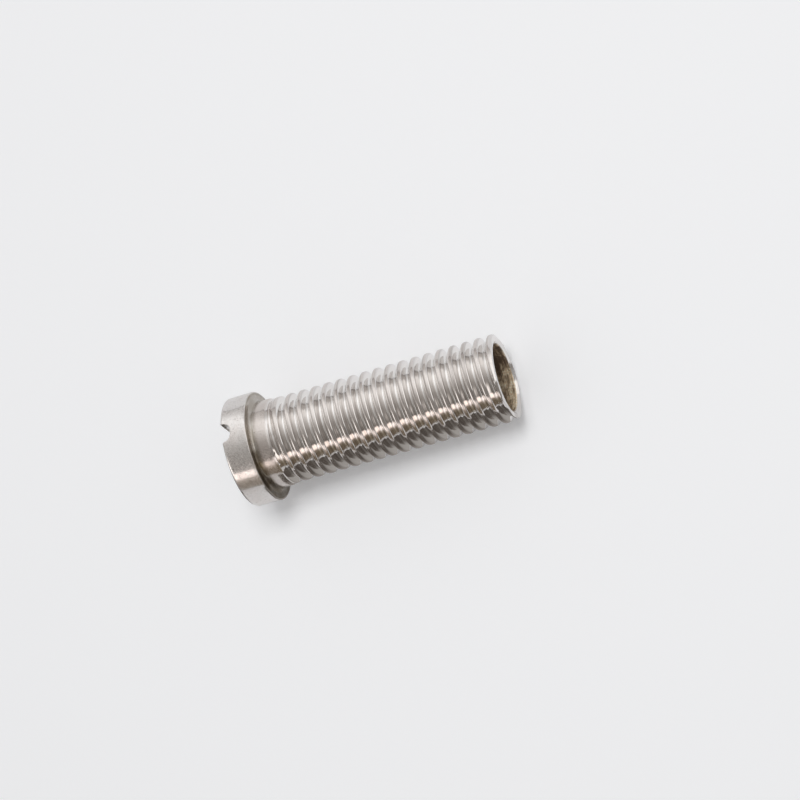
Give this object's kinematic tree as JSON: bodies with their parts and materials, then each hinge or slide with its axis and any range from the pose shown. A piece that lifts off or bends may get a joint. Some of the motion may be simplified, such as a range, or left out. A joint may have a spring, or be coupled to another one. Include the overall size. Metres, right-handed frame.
{
  "type": "sink strainer screw",
  "caption": "Hollow round-headed screw with a driver slot across the head, a plain neck and a coarse outside thread, for clamping a sink strainer to its drain body.",
  "frame": {"origin": "centre of the slotted face of the head, on the screw's axis", "axes": "+Z along the axis from the head to the tip; Y along the driver slot"},
  "size_m": [0.0148, 0.0146, 0.037],
  "materials": {
    "nickel_plate": "nickel plate on brass, slightly dulled, with a tarnished bore and olive staining under the head"
  },
  "bodies": {
    "root": {"hollow_screw": "nickel_plate"}
  },
  "joints": []
}
